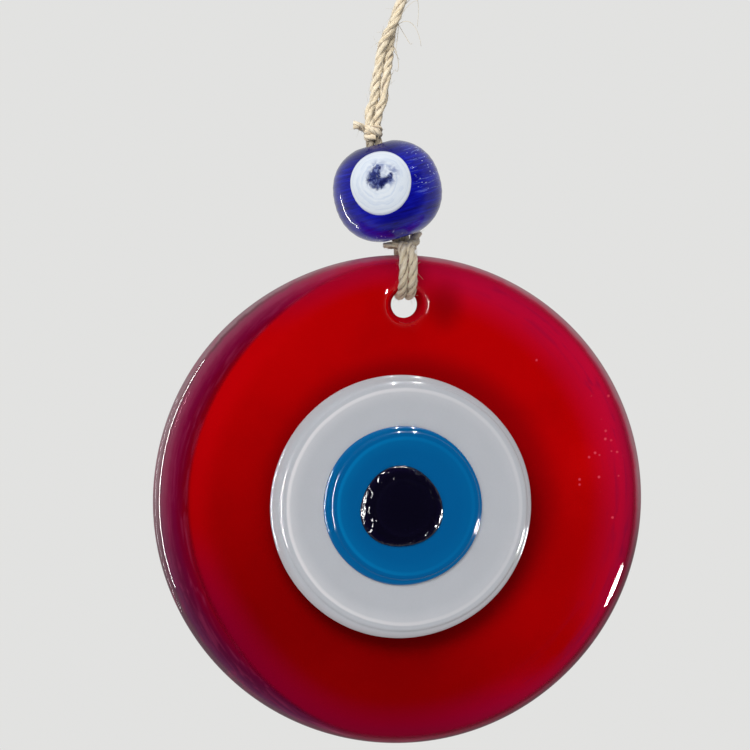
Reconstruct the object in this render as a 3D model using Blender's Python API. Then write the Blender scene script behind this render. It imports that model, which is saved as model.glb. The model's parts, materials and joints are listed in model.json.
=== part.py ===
"""Hanging evil eye ornament: a disc of layered glass and a glass bead on doubled twine.

+Z is up, +X is to the viewer's right and the ornament faces -Y. The origin is the centre of
the disc's flat back. Dimensions are in millimetres here and turned into metres by MM.
"""

import math

import bmesh
import bpy
from mathutils import Vector

MM = 0.001
GAP = 0.3  # clear space between neighbouring pieces

# Glass disc. Heights are measured forwards from the flat back.
DISC_R = 40.0
DISC_FRONT = 5.0
DISC_WIDEST = 2.4  # height at which the rounded rim is widest
BACK_FLAT_R = 27.5
BACK_EDGE_R = 36.6
BACK_EDGE_RISE = 0.45
SHOULDER_R = 34.2  # the front is flat inside this radius
HOLE_X = 1.0
HOLE_Z = 31.9
HOLE_R = 2.25
HOLE_LIP = 0.9

# Eye layers: centre x, centre z, radius, underside, side height, top, shoulder width.
WHITE_AT = (-0.1, -1.0)
WHITE_R = 21.5
WHITE_LEVELS = (4.6, 5.25, 6.05)
WHITE_SHOULDER = 1.8
BLUE_AT = (0.0, -0.8)
BLUE_R = 13.0
BLUE_LEVELS = (5.6, 6.3, 6.95)
BLUE_SHOULDER = 1.5
PUPIL_AT = (-0.3, -1.0)
PUPIL_R = 6.9
PUPIL_LEVELS = (6.4, 7.05, 7.9)

# Glass bead, bored along an axis that leans to the left.
CORD_Y = -2.6  # everything on the twine hangs in the disc's middle plane
BEAD_AT = (-2.0, CORD_Y, 50.4)
BEAD_LEAN = 16.0
BEAD_R = 8.8
BEAD_HALF_LENGTH = 8.1
BEAD_SQUARENESS = 2.3
BORE_R = 2.2
BORE_LIP = 0.7
EYE_DIRECTION = (-0.278, -0.944, 0.175)
EYE_R = 5.2
EYE_FLOOR = 6.5
EYE_SIDE = 7.25
EYE_TOP = 9.0
SWIRL_START = 105.0
SWIRL_SWEEP = 295.0
SWIRL_THIN = 0.32
SWIRL_THICK = 0.85

# Twine.
STRAND_R = 0.75
STRAND_SPACING = 2.0 * STRAND_R + GAP
THROAT_X = 1.0
THROAT_Z = 94.0
SWAY_Z = 84.15
CORD_FOOT = (-4.3, 61.8)
CORD_LOW = (-2.75, 70.0)
CORD_BEND = (-2.0, 75.0)
CORD_HIGH = (0.4, 81.6)
CORD_UPPER = (1.0, 88.0)
PAIR_TURN = (71.0, 79.0, 83.0, 92.0)  # the pair turns a quarter between each two heights
LOOP_HALF_WIDTH = 5.5
LOOP_CORNER = 4.0
LOOP_TOP_Z = 114.0
SEAT_FLAT = 0.53  # the loop's inner top is pressed flat this far from the strand's centre

# Knots.
UPPER_KNOT_AT = (-4.5, CORD_Y, 59.95)
UPPER_KNOT_SIZE = (1.75, 1.6, 1.4)
LOWER_KNOT_AT = (0.8, CORD_Y, 41.3)
LOWER_KNOT_SIZE = (2.3, 1.6, 0.8)
NECK_AT = (0.3, CORD_Y, 42.35)

RIM_SEGMENTS = 96
SMALL_SEGMENTS = 48
STRAND_SIDES = 12


def clear_scene():
    for old in list(bpy.data.objects):
        bpy.data.objects.remove(old, do_unlink=True)


def material(name, colour, roughness, metallic=0.0, coat=0.0):
    made = bpy.data.materials.new(name)
    made.use_nodes = True
    shader = made.node_tree.nodes["Principled BSDF"]
    shader.inputs["Base Color"].default_value = (*colour, 1.0)
    shader.inputs["Roughness"].default_value = roughness
    shader.inputs["Metallic"].default_value = metallic
    shader.inputs["Coat Weight"].default_value = coat
    made.diffuse_color = (*colour, 1.0)
    return made


def pivot(name, at, parent=None):
    empty = bpy.data.objects.new(name, None)
    empty.empty_display_size = 4 * MM
    bpy.context.scene.collection.objects.link(empty)
    base = Vector(parent["at"]) if parent else Vector((0, 0, 0))
    empty["at"] = at
    empty.parent = parent
    empty.location = (Vector(at) - base) * MM
    return empty


def finish(bm, name, sharp=35.0):
    """Turn a bmesh in millimetres into an object in metres, with smooth round faces."""
    bmesh.ops.recalc_face_normals(bm, faces=bm.faces)
    bmesh.ops.scale(bm, vec=(MM, MM, MM), verts=bm.verts)
    for face in bm.faces:
        face.smooth = True
    mesh = bpy.data.meshes.new(name)
    bm.to_mesh(mesh)
    bm.free()
    mesh.set_sharp_from_angle(angle=math.radians(sharp))
    made = bpy.data.objects.new(name, mesh)
    bpy.context.scene.collection.objects.link(made)
    return made


def place(made, at, owner, towards=(0, 0, 1)):
    """Put a piece whose own axis is local Z at a world point, looking along a direction."""
    base = Vector(owner["at"]) if owner else Vector((0, 0, 0))
    made.parent = owner
    made.location = (Vector(at) - base) * MM
    made.rotation_mode = "QUATERNION"
    made.rotation_quaternion = Vector(towards).to_track_quat("Z", "Y")
    return made


def dress(made, look):
    made.data.materials.clear()
    made.data.materials.append(look)
    return made


def arc(centre_r, centre_h, half_r, half_h, start, end, steps):
    """Points of an ellipse arc in (radius, height), angles in degrees from +radius."""
    points = []
    for i in range(steps + 1):
        t = math.radians(start + (end - start) * i / steps)
        points.append((centre_r + half_r * math.cos(t), centre_h + half_h * math.sin(t)))
    return points


def ring(bm, radius, height, segments):
    if radius < 1e-6:
        return [bm.verts.new((0, 0, height))]
    verts = []
    for i in range(segments):
        t = 2 * math.pi * i / segments
        verts.append(bm.verts.new((radius * math.cos(t), radius * math.sin(t), height)))
    return verts


def skin(bm, low, high):
    """Join two rings of a turned piece; a ring of one vertex is the pole."""
    count = max(len(low), len(high))
    for i in range(count):
        j = (i + 1) % count
        corners = [low[i % len(low)], low[j % len(low)], high[j % len(high)], high[i % len(high)]]
        bm.faces.new(list(dict.fromkeys(corners)))


def turned(name, profile, segments, closed=False):
    """Turn a profile of (radius, height) points; a closed profile makes a ring."""
    bm = bmesh.new()
    rings = [ring(bm, r, h, segments) for r, h in profile]
    for low, high in zip(rings, rings[1:]):
        skin(bm, low, high)
    if closed:
        skin(bm, rings[-1], rings[0])
    return finish(bm, name)


def cut(target, cutter):
    """Subtract the cutter from the target and remove it."""
    cutter.hide_render = True
    cutter.display_type = "WIRE"
    step = target.modifiers.new("cut", "BOOLEAN")
    step.operation = "DIFFERENCE"
    step.solver = "EXACT"
    step.object = cutter
    bpy.context.view_layer.objects.active = target
    bpy.ops.object.modifier_apply(modifier=step.name)
    bpy.data.objects.remove(cutter, do_unlink=True)
    target.data.set_sharp_from_angle(angle=math.radians(35))


def sweep(name, path, radii, sides, flats=()):
    """A capped tube along a path. Sections listed in flats are pressed flat on the inside."""
    bm = bmesh.new()
    rings = []
    normal = Vector((0, 1, 0))
    for i, point in enumerate(path):
        ahead = path[min(i + 1, len(path) - 1)] - path[max(i - 1, 0)]
        ahead.normalize()
        normal = (normal - ahead * normal.dot(ahead)).normalized()
        side = ahead.cross(normal)
        radius = radii[i]
        verts = []
        for k in range(sides):
            t = 2 * math.pi * (k + 0.5) / sides
            across = radius * math.cos(t)
            if i in flats:
                across = min(across, SEAT_FLAT)
            verts.append(bm.verts.new(point + side * across + normal * (radius * math.sin(t))))
        rings.append(verts)
    for low, high in zip(rings, rings[1:]):
        skin(bm, low, high)
    bm.faces.new(rings[0])
    bm.faces.new(rings[-1])
    return finish(bm, name, sharp=50.0)


def spline(points, steps):
    """Smooth curve through the given points (Catmull-Rom)."""
    pts = [Vector(p) for p in points]
    pts = [pts[0] * 2 - pts[1], *pts, pts[-1] * 2 - pts[-2]]
    out = []
    for a, b, c, d in zip(pts, pts[1:], pts[2:], pts[3:]):
        for i in range(steps):
            t = i / steps
            pull = (c - a) * t + (a * 2 - b * 5 + c * 4 - d) * t * t + (b * 3 - a - c * 3 + d) * t**3
            out.append(b + pull * 0.5)
    out.append(pts[-2])
    return out


def ease(value, start, end):
    t = min(max((value - start) / (end - start), 0.0), 1.0)
    return t * t * (3 - 2 * t)


def disc_profile():
    back_edge = arc(BACK_EDGE_R, DISC_WIDEST, DISC_R - BACK_EDGE_R, DISC_WIDEST - BACK_EDGE_RISE, -90, 0, 5)
    shoulder = arc(SHOULDER_R, DISC_WIDEST, DISC_R - SHOULDER_R, DISC_FRONT - DISC_WIDEST, 0, 90, 9)
    return [(0, 0), (BACK_FLAT_R, 0), *back_edge, *shoulder[1:], (0, DISC_FRONT)]


def hole_profile():
    low = arc(HOLE_R + HOLE_LIP, HOLE_LIP + BACK_EDGE_RISE, HOLE_LIP, HOLE_LIP, 270, 180, 5)
    high = arc(HOLE_R + HOLE_LIP, DISC_FRONT - HOLE_LIP, HOLE_LIP, HOLE_LIP, 180, 90, 5)
    wide = HOLE_R + HOLE_LIP
    return [(0, -2), (wide, -2), *low, *high, (wide, DISC_FRONT + 2), (0, DISC_FRONT + 2)]


def layer_profile(radius, levels, shoulder):
    """A poured drop with a flat middle and a rounded shoulder."""
    under, side, top = levels
    rounded = arc(radius - shoulder, side, shoulder, top - side, 0, 90, 6)
    return [(0, under), (radius, under), *rounded, (0, top)]


def dome_profile(radius, levels):
    """A poured drop that is domed right to its middle."""
    under, side, top = levels
    rounded = arc(0, side, radius, top - side, 0, 90, 12)
    return [(0, under), (radius, under), *rounded[:-1], (0, top)]


def pocket(target, radius, floor, at, owner):
    cutter = turned("pocket_cutter", [(0, floor), (radius, floor), (radius, 12), (0, 12)], RIM_SEGMENTS)
    place(cutter, (at[0], 0, at[1]), owner, (0, -1, 0))
    bpy.context.view_layer.update()
    cut(target, cutter)


def build_disc(owner, looks):
    disc = turned("red_disc", disc_profile(), RIM_SEGMENTS)
    place(disc, (0, 0, 0), owner, (0, -1, 0))
    hole = turned("hole_cutter", hole_profile(), SMALL_SEGMENTS)
    place(hole, (HOLE_X, 0, HOLE_Z), owner, (0, -1, 0))
    bpy.context.view_layer.update()
    cut(disc, hole)
    pocket(disc, WHITE_R + GAP, WHITE_LEVELS[0] - GAP, WHITE_AT, owner)
    dress(disc, looks["red"])

    white = turned("white_layer", layer_profile(WHITE_R, WHITE_LEVELS, WHITE_SHOULDER), RIM_SEGMENTS)
    place(white, (WHITE_AT[0], 0, WHITE_AT[1]), owner, (0, -1, 0))
    pocket(white, BLUE_R + GAP, BLUE_LEVELS[0] - GAP, BLUE_AT, owner)
    dress(white, looks["white"])

    blue = turned("blue_layer", layer_profile(BLUE_R, BLUE_LEVELS, BLUE_SHOULDER), RIM_SEGMENTS)
    place(blue, (BLUE_AT[0], 0, BLUE_AT[1]), owner, (0, -1, 0))
    pocket(blue, PUPIL_R + GAP, PUPIL_LEVELS[0] - GAP, PUPIL_AT, owner)
    dress(blue, looks["blue"])

    pupil = turned("pupil", dome_profile(PUPIL_R, PUPIL_LEVELS), SMALL_SEGMENTS)
    place(pupil, (PUPIL_AT[0], 0, PUPIL_AT[1]), owner, (0, -1, 0))
    dress(pupil, looks["pupil"])


def bead_axis():
    lean = math.radians(BEAD_LEAN)
    return Vector((-math.sin(lean), 0, math.cos(lean)))


def bead_profile():
    """Barrel-shaped outside, from the upper bore lip round to the lower, then the bore."""
    power = 2.0 / BEAD_SQUARENESS
    edge = BORE_R + BORE_LIP
    last = math.acos((edge / BEAD_R) ** (1 / power))
    outside = []
    steps = 20
    for i in range(steps + 1):
        t = last * (1 - 2 * i / steps)
        height = BEAD_HALF_LENGTH * math.copysign(abs(math.sin(t)) ** power, t)
        outside.append((BEAD_R * math.cos(t) ** power, height))
    end = outside[0][1] - BORE_LIP
    low = arc(edge, -end, BORE_LIP, BORE_LIP, 270, 180, 4)
    high = arc(edge, end, BORE_LIP, BORE_LIP, 180, 90, 4)
    return [*outside, *low[1:], *high[:-1]]


def swirl_path():
    """Comma-shaped trail in the eye's own plane, with its radius at each point."""
    points = []
    radii = []
    steps = 22
    for i in range(steps + 1):
        s = i / steps
        angle = math.radians(SWIRL_START + SWIRL_SWEEP * s)
        out = 2.2 + 0.3 * s - 1.6 * math.sin(math.pi * s)
        points.append((out * math.cos(angle), out * math.sin(angle)))
        radii.append(SWIRL_THIN + (SWIRL_THICK - SWIRL_THIN) * math.sin(math.pi * s) ** 2)
    return points, radii


def on_dome(x, y):
    """Height above the bead's centre of the eye's domed face."""
    rise = EYE_TOP - EYE_SIDE
    sphere = (EYE_R**2 + rise**2) / (2 * rise)
    return EYE_TOP - sphere + math.sqrt(sphere**2 - x * x - y * y)


def swirl(name, grow, owner):
    flat, radii = swirl_path()
    path = [Vector((x, y, on_dome(x, y) - 0.25 * r)) for (x, y), r in zip(flat, radii)]
    if grow:
        path.insert(0, path[0] * 2 - path[1])
        path.append(path[-1] * 2 - path[-2])
        radii = [radii[0], *radii, radii[-1]]
    made = sweep(name, path, [r + grow for r in radii], 16)
    return place(made, BEAD_AT, owner, EYE_DIRECTION)


def build_bead(owner, looks):
    bead = turned("bead_body", bead_profile(), SMALL_SEGMENTS, closed=True)
    place(bead, BEAD_AT, owner, bead_axis())
    wide = EYE_R + GAP
    deep = EYE_FLOOR - GAP
    socket = turned("socket_cutter", [(0, deep), (wide, deep), (wide, 14), (0, 14)], SMALL_SEGMENTS)
    place(socket, BEAD_AT, owner, EYE_DIRECTION)
    bpy.context.view_layer.update()
    cut(bead, socket)
    dress(bead, looks["cobalt"])

    dome = [(EYE_R * (1 - i / 10), on_dome(EYE_R * (1 - i / 10), 0)) for i in range(11)]
    eye = turned("bead_eye_white", [(0, EYE_FLOOR), (EYE_R, EYE_FLOOR), *dome], SMALL_SEGMENTS)
    place(eye, BEAD_AT, owner, EYE_DIRECTION)
    groove = swirl("groove_cutter", GAP, owner)
    bpy.context.view_layer.update()
    cut(eye, groove)
    dress(eye, looks["bead_white"])
    dress(swirl("bead_eye_swirl", 0.0, owner), looks["swirl"])


def cord_centre(z):
    """Point of the twine pair's middle line at a height."""
    known = [CORD_FOOT, CORD_LOW, CORD_BEND, CORD_HIGH, CORD_UPPER, (THROAT_X, THROAT_Z)]
    line = spline([(x, 0, height) for x, height in known], 12)
    for a, b in zip(line, line[1:]):
        if a.z <= z <= b.z:
            return a.lerp(b, (z - a.z) / (b.z - a.z)).x
    return line[0].x if z < line[0].z else line[-1].x


def strand_point(z, side):
    first, second, third, fourth = PAIR_TURN
    turn = math.pi / 2 * (ease(z, first, second) + ease(z, third, fourth))
    out = side * STRAND_SPACING / 2
    x = cord_centre(z) + out * math.cos(turn)
    return Vector((x, CORD_Y + out * math.sin(turn), z))


def strand(name, low, high, side, owner, look):
    steps = max(6, round((high - low) / 1.4))
    path = [strand_point(low + (high - low) * i / steps, side) for i in range(steps + 1)]
    return tube(name, path, owner, look)


def domed_end(path, radius):
    """Rings of a rounded end at the start of a path, then the rest of the path."""
    ahead = (path[1] - path[0]).normalized()
    rings = []
    for degrees in (72, 45, 20):
        a = math.radians(degrees)
        rings.append((path[0] + ahead * radius * (1 - math.sin(a)), radius * math.cos(a)))
    kept = [p for p in path[1:] if (p - path[0]).length > radius * 1.02]
    return rings, kept


def tube(name, path, owner, look, radius=STRAND_R, seat=None):
    """A strand with rounded ends, pressed flat on the inside at the seat's two sections."""
    base = Vector(owner["at"]) if owner else Vector((0, 0, 0))
    path = [p - base for p in path]
    first, path = domed_end(path, radius)
    last, path = domed_end(path[::-1], radius)
    path = path[::-1]
    points = [p for p, _ in first] + path + [p for p, _ in reversed(last)]
    radii = [r for _, r in first] + [radius] * len(path) + [r for _, r in reversed(last)]
    flats = [i for i, p in enumerate(points) if seat and p in seat]
    made = sweep(name, points, radii, STRAND_SIDES, flats)
    made.parent = owner
    return dress(made, look)


def loop_path():
    """Up the right leg, round the flat top and down the left leg."""
    leg = []
    foot = STRAND_SPACING / 2
    start = THROAT_Z + GAP / 2
    shoulder = LOOP_TOP_Z - LOOP_CORNER
    for i in range(14):
        t = i / 13
        rise = start + (shoulder - start) * t
        leg.append((foot + (LOOP_HALF_WIDTH - foot) * ease(t, 0, 1), rise))
    corner = arc(LOOP_HALF_WIDTH - LOOP_CORNER, shoulder, LOOP_CORNER, LOOP_CORNER, 0, 90, 8)
    half = leg + corner[1:]
    right = [Vector((THROAT_X + x, CORD_Y, z)) for x, z in half]
    left = [Vector((THROAT_X - x, CORD_Y, z)) for x, z in reversed(half)]
    return right + left, (right[-1], left[0])


def build_hanger(looks, owners):
    path, seat = loop_path()
    tube("hang_loop", path, None, looks["twine"], seat=seat)
    for label, side in (("left", -1), ("right", 1)):
        # the pair turns half a revolution on its way up, so each strand changes side
        split_low = SWAY_Z - GAP / 2
        split_high = SWAY_Z + GAP / 2
        top = THROAT_Z - GAP / 2
        strand(f"cord_top_{label}", split_high, top, side, owners["nod"], looks["twine"])
        strand(f"cord_mid_{label}", CORD_FOOT[1], split_low, side, owners["sway"], looks["twine"])
        offset = Vector((math.cos(math.radians(BEAD_LEAN)), 0, math.sin(math.radians(BEAD_LEAN))))
        offset *= side * STRAND_SPACING / 2
        ends = [Vector(BEAD_AT) + offset + bead_axis() * s for s in (-8.05, -4, 0, 4, 8.2)]
        tube(f"bead_cord_{label}", ends, owners["knot"], looks["twine"])


def knot(name, at, size, owner, look, turns, tilt):
    """A pulled-tight knot: a rounded lump with wraps that run round it at a slant."""
    bm = bmesh.new()
    rings = []
    rows = 14
    for i in range(rows + 1):
        lat = -math.pi / 2 + math.pi * i / rows
        level = []
        for k in range(28 if 0 < i < rows else 1):
            lon = 2 * math.pi * k / 28
            wrap = 0.5 + 0.5 * math.cos(turns * lat * 2 + lon * tilt)
            swell = 1 - 0.16 * wrap * math.cos(lat)
            flat = math.cos(lat) ** 0.8 * swell
            x = size[0] * flat * math.cos(lon)
            y = size[1] * flat * math.sin(lon)
            level.append(bm.verts.new((x, y, size[2] * math.sin(lat))))
        rings.append(level)
    for low, high in zip(rings, rings[1:]):
        skin(bm, low, high)
    made = finish(bm, name, sharp=80.0)
    return dress(place(made, at, owner), look)


def build_knots(owners, looks):
    knot("upper_knot", UPPER_KNOT_AT, UPPER_KNOT_SIZE, owners["knot"], looks["knot"], 2.5, 1)
    x, y, z = UPPER_KNOT_AT
    tail = [(x - 2.15, y - 0.1, z + 0.75), (x - 2.6, y - 0.3, z + 0.95), (x - 3.1, y - 0.5, z + 1.1)]
    tube("upper_knot_tail", spline(tail, 2), owners["knot"], looks["twine"], 0.62)

    knot("lower_knot", LOWER_KNOT_AT, LOWER_KNOT_SIZE, owners["neck"], looks["knot"], 1.5, 1)
    x, y, z = LOWER_KNOT_AT
    tail = [(x + 2.75, y + 1.0, z + 0.2), (x + 3.2, y + 2.6, z + 0.5), (x + 3.5, y + 4.4, z + 1.6)]
    tube("lower_knot_tail", spline(tail, 4), owners["neck"], looks["twine"], 0.65)


def rim_loop_path(x):
    """One strand from the knot down the front, through the hole and up the back."""
    front = -(DISC_FRONT + GAP + STRAND_R)
    line = [
        (CORD_Y - 2.05, LOWER_KNOT_AT[2] + 0.15),
        (front + 0.4, 40.6),
        (front - 0.1, 39.0),
        (front - 0.05, 36.6),
        (front, 34.7),
        (-5.2, 33.0),
        (-2.6, HOLE_Z + 0.65),
        (0.0, 33.0),
        (0.75, 34.7),
        (0.65, 37.0),
        (0.5, 39.2),
        (0.2, 40.6),
        (CORD_Y + 2.05, LOWER_KNOT_AT[2] + 0.15),
    ]
    return spline([(x, y, z) for y, z in line], 3)


def build_rim_loop(owner, looks):
    for label, side in (("left", -1), ("right", 1)):
        path = rim_loop_path(HOLE_X + side * STRAND_SPACING / 2)
        tube(f"rim_loop_{label}", path, owner, looks["twine"])


def main():
    clear_scene()
    looks = {
        "red": material("red_glass", (0.42, 0.0, 0.005), 0.06, coat=1.0),
        "white": material("white_glass", (0.62, 0.63, 0.66), 0.08, coat=1.0),
        "blue": material("light_blue_glass", (0.0, 0.11, 0.34), 0.07, coat=1.0),
        "pupil": material("dark_glass", (0.003, 0.002, 0.008), 0.05, coat=1.0),
        "cobalt": material("cobalt_glass", (0.012, 0.01, 0.36), 0.08, coat=1.0),
        "bead_white": material("bead_white_glass", (0.74, 0.78, 0.88), 0.12, coat=0.8),
        "swirl": material("swirl_glass", (0.015, 0.02, 0.16), 0.12, coat=0.8),
        "twine": material("natural_twine", (0.62, 0.53, 0.36), 0.9),
        "knot": material("knotted_twine", (0.58, 0.49, 0.33), 0.9),
    }
    nod = pivot("nod_pivot", (THROAT_X, CORD_Y, THROAT_Z))
    sway = pivot("sway_pivot", (cord_centre(SWAY_Z), CORD_Y, SWAY_Z), nod)
    twist = pivot("twist_pivot", (CORD_FOOT[0], CORD_Y, CORD_FOOT[1] - GAP / 2), sway)
    spin = pivot("spin_pivot", BEAD_AT, twist)
    neck = pivot("neck_pivot", NECK_AT, twist)
    swing = pivot("swing_pivot", (HOLE_X, 0.0, HOLE_Z), neck)
    build_disc(swing, looks)
    build_bead(spin, looks)
    owners = {"sway": sway, "nod": nod, "knot": twist, "neck": neck}
    build_hanger(looks, owners)
    build_knots(owners, looks)
    build_rim_loop(neck, looks)


main()
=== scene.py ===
import json
import random
from math import acos, atan2, copysign, cos, dist, pi, radians, sin, sqrt

import bmesh
import bpy
import numpy as np
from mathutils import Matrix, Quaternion, Vector, noise

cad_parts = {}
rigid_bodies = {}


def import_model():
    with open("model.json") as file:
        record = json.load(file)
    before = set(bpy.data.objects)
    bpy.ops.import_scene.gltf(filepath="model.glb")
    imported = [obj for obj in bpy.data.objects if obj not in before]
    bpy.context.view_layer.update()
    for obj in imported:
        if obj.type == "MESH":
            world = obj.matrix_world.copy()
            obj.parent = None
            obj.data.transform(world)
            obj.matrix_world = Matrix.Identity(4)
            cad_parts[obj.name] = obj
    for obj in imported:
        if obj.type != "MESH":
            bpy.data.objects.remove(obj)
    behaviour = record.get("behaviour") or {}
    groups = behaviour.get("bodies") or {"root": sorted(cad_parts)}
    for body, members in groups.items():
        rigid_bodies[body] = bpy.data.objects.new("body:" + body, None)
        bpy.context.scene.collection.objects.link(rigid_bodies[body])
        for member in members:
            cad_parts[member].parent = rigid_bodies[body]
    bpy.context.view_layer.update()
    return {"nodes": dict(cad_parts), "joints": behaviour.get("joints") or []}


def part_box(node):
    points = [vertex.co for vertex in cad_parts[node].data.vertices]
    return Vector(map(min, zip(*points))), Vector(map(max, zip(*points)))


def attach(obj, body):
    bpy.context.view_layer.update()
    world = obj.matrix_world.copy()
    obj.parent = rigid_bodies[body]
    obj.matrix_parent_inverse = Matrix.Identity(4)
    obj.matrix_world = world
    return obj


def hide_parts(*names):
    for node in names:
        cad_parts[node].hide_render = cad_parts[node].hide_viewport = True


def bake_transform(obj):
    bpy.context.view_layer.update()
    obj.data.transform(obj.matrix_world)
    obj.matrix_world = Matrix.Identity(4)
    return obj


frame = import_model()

MM = 0.001
JOINTS = {j["name"]: j for j in frame["joints"]}


def joint_at(name):
    """A joint's point, in millimetres."""
    return Vector(JOINTS[name]["pos_m"]) / MM


def box(node):
    """Lowest and highest corners of a CAD node, in millimetres."""
    low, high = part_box(node)
    return low / MM, high / MM


def middle_of(node):
    low, high = box(node)
    return (low + high) / 2


def centre_of(node):
    """A layer's centre seen from the front, and how far it reaches from there."""
    low, high = box(node)
    return ((low.x + high.x) / 2, (low.z + high.z) / 2), (high.x - low.x) / 2


def top_of(node):
    """A layer's highest point above the disc's back."""
    return -box(node)[0].y


# ---------------- places, from the frame
DISC_LOW, DISC_HIGH = box("red_disc")
DISC_R = (DISC_HIGH.x - DISC_LOW.x) / 2
DISC_FRONT = -DISC_LOW.y
HOLE = joint_at("disc_swing")
BEAD = joint_at("bead_spin")
BEAD_AXIS = Vector(JOINTS["bead_spin"]["axis"]).normalized()
THROAT = joint_at("cord_nod")
SWAY = joint_at("cord_sway")
TWIST = joint_at("cord_twist")
NECK = joint_at("disc_tilt")
CORD_Y = BEAD.y
LOOP_LOW, LOOP_HIGH = box("hang_loop")
WHITE_AT, WHITE_REACH = centre_of("white_layer")
STRAND_R = (LOOP_HIGH.y - LOOP_LOW.y) / 2 * 1.08        # plies and fibres stand out past the CAD strand

# ---------------- sizes of the visible surface, in millimetres
HOLE_R = 2.3
HOLE_LIP = 3.2
RED_FULL = 39.1                     # how far the red glass reaches from the disc's centre
RED_SHORT = 4.0                     # how much less it reaches at the left, where clear glass is left
RED_SHORT_AT = radians(176)
RED_BACK = 0.9                      # heights of the red glass above the disc's back
RED_TOP = 2.0
SLUMP = 0.5                         # how far the poured layers slipped to the right
BORDER = 6.5                        # width of the wine coloured border of the clear glass
BEAD_R = 8.8                        # the bead's radius and half its length
BEAD_HALF = 8.1
BEAD_POWER = 2.3                    # 2 would be an ellipse; above 2 its shoulders are fuller


# ---------------- shader helpers
class Signal:
    """A shader node's output. Sums and products of signals become Math nodes."""

    def __init__(self, socket):
        self.socket = socket
        self.tree = socket.id_data

    def __add__(self, other):
        return calc("ADD", self, other)

    def __sub__(self, other):
        return calc("SUBTRACT", self, other)

    def __rsub__(self, other):
        return calc("SUBTRACT", other, self)

    def __mul__(self, other):
        return calc("MULTIPLY", self, other)

    def __truediv__(self, other):
        return calc("DIVIDE", self, other)


def new_look(name):
    look = bpy.data.materials.new(name)
    look.use_nodes = True
    return look, look.node_tree, look.node_tree.nodes["Principled BSDF"]


def put(socket, value):
    """Link a signal to an input, or set the input's value."""
    if isinstance(value, Signal):
        socket.id_data.links.new(value.socket, socket)
    elif isinstance(value, tuple) and len(value) == 3 and socket.type == "RGBA":
        socket.default_value = (*value, 1.0)
    else:
        socket.default_value = value


def fill(node, inputs):
    for key, value in inputs.items():
        put(node.inputs[key], value)


def add(tree, kind, inputs=None, **settings):
    node = tree.nodes.new("ShaderNode" + kind)
    for key, value in settings.items():
        setattr(node, key, value)
    fill(node, inputs or {})
    return node


def output(node, key=0):
    return Signal(node.outputs[key])


def stored(tree, name, key="Fac"):
    """A number or vector that the mesh keeps for each vertex."""
    return output(add(tree, "Attribute", attribute_name=name), key)


def calc(operation, a, b=0.0):
    tree = (a if isinstance(a, Signal) else b).tree
    return output(add(tree, "Math", {0: a, 1: b}, operation=operation))


def combined(x, y, z=0.0):
    return output(add(x.tree, "CombineXYZ", {0: x, 1: y, 2: z}))


def parts(value, kind="XYZ"):
    return [Signal(socket) for socket in add(value.tree, "Separate" + kind, {0: value}).outputs]


def mixed(share, a, b, mode="MIX"):
    """Colour a with a share of colour b laid over it."""
    tree = next(v.tree for v in (share, a, b) if isinstance(v, Signal))
    return output(add(tree, "Mix", {0: share, 6: a, 7: b}, data_type="RGBA", blend_type=mode), 2)


def ramp(share, stops):
    node = add(share.tree, "ValToRGB", {0: share})
    node.color_ramp.interpolation = "EASE"
    bar = node.color_ramp.elements
    while len(bar) < len(stops):
        bar.new(0.5)
    for element, (place, colour) in zip(bar, stops):
        element.position = place
        element.color = (*colour, 1.0) if isinstance(colour, tuple) else (colour, colour, colour, 1.0)
    return output(node)


def span(value, low, high, out_low=0.0, out_high=1.0):
    """Smooth step from out_low to out_high as a value goes from low to high."""
    inputs = {0: value, 1: low, 2: high, 3: out_low, 4: out_high}
    return output(add(value.tree, "MapRange", inputs, interpolation_type="SMOOTHSTEP"))


def grain(vector, scale, detail=3.0, rough=0.5, warp=0.0):
    inputs = {"Vector": vector, "Scale": scale, "Detail": detail, "Roughness": rough, "Distortion": warp}
    return output(add(vector.tree, "TexNoise", inputs))


def stretched(vector, scale):
    return output(add(vector.tree, "Mapping", {"Vector": vector, "Scale": scale}))


def bump(height, depth, strength=1.0, normal=None):
    """Bump of a depth in millimetres."""
    inputs = {"Height": height, "Distance": depth * MM, "Strength": strength}
    if normal is not None:
        inputs["Normal"] = normal
    return output(add(height.tree, "Bump", inputs))


def millimetres(tree):
    """Row-frame position in millimetres, as a vector and its three numbers."""
    coords = output(add(tree, "TexCoord"), "Object")
    scaled = output(add(tree, "VectorMath", {0: coords, 1: (1 / MM, 1 / MM, 1 / MM)}, operation="MULTIPLY"))
    return scaled, *parts(scaled)


def radius_about(x, z, at):
    dx = x - at[0]
    dz = z - at[1]
    return calc("SQRT", dx * dx + dz * dz)


# ---------------- mesh helpers
def around(count):
    """Angles of evenly spaced steps once round."""
    return [2 * pi * i / count for i in range(count)]


def smooth(made):
    made.data.polygons.foreach_set("use_smooth", [True] * len(made.data.polygons))


def mesh_piece(name, verts, faces, look):
    mesh = bpy.data.meshes.new(name)
    mesh.from_pydata([tuple(v) for v in verts], [], faces)
    mesh.update()
    made = bpy.data.objects.new(name, mesh)
    bpy.context.scene.collection.objects.link(made)
    mesh.materials.append(look)
    smooth(made)
    return made


def outward(made):
    bm = bmesh.new()
    bm.from_mesh(made.data)
    bmesh.ops.recalc_face_normals(bm, faces=bm.faces)
    bm.to_mesh(made.data)
    bm.free()
    return made


def store(made, name, values, kind="FLOAT"):
    """Keep a number or a vector for each vertex, for the material to read."""
    layer = made.data.attributes.new(name, kind, "POINT")
    layer.data.foreach_set("value" if kind == "FLOAT" else "vector", np.array(values, np.float32).ravel())


def settle(piece, slot, body, *nodes):
    """The piece rides on a body and stands for CAD nodes, which it hides. The slot is not used."""
    if nodes:
        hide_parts(*nodes)
    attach(piece, body)


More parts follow.
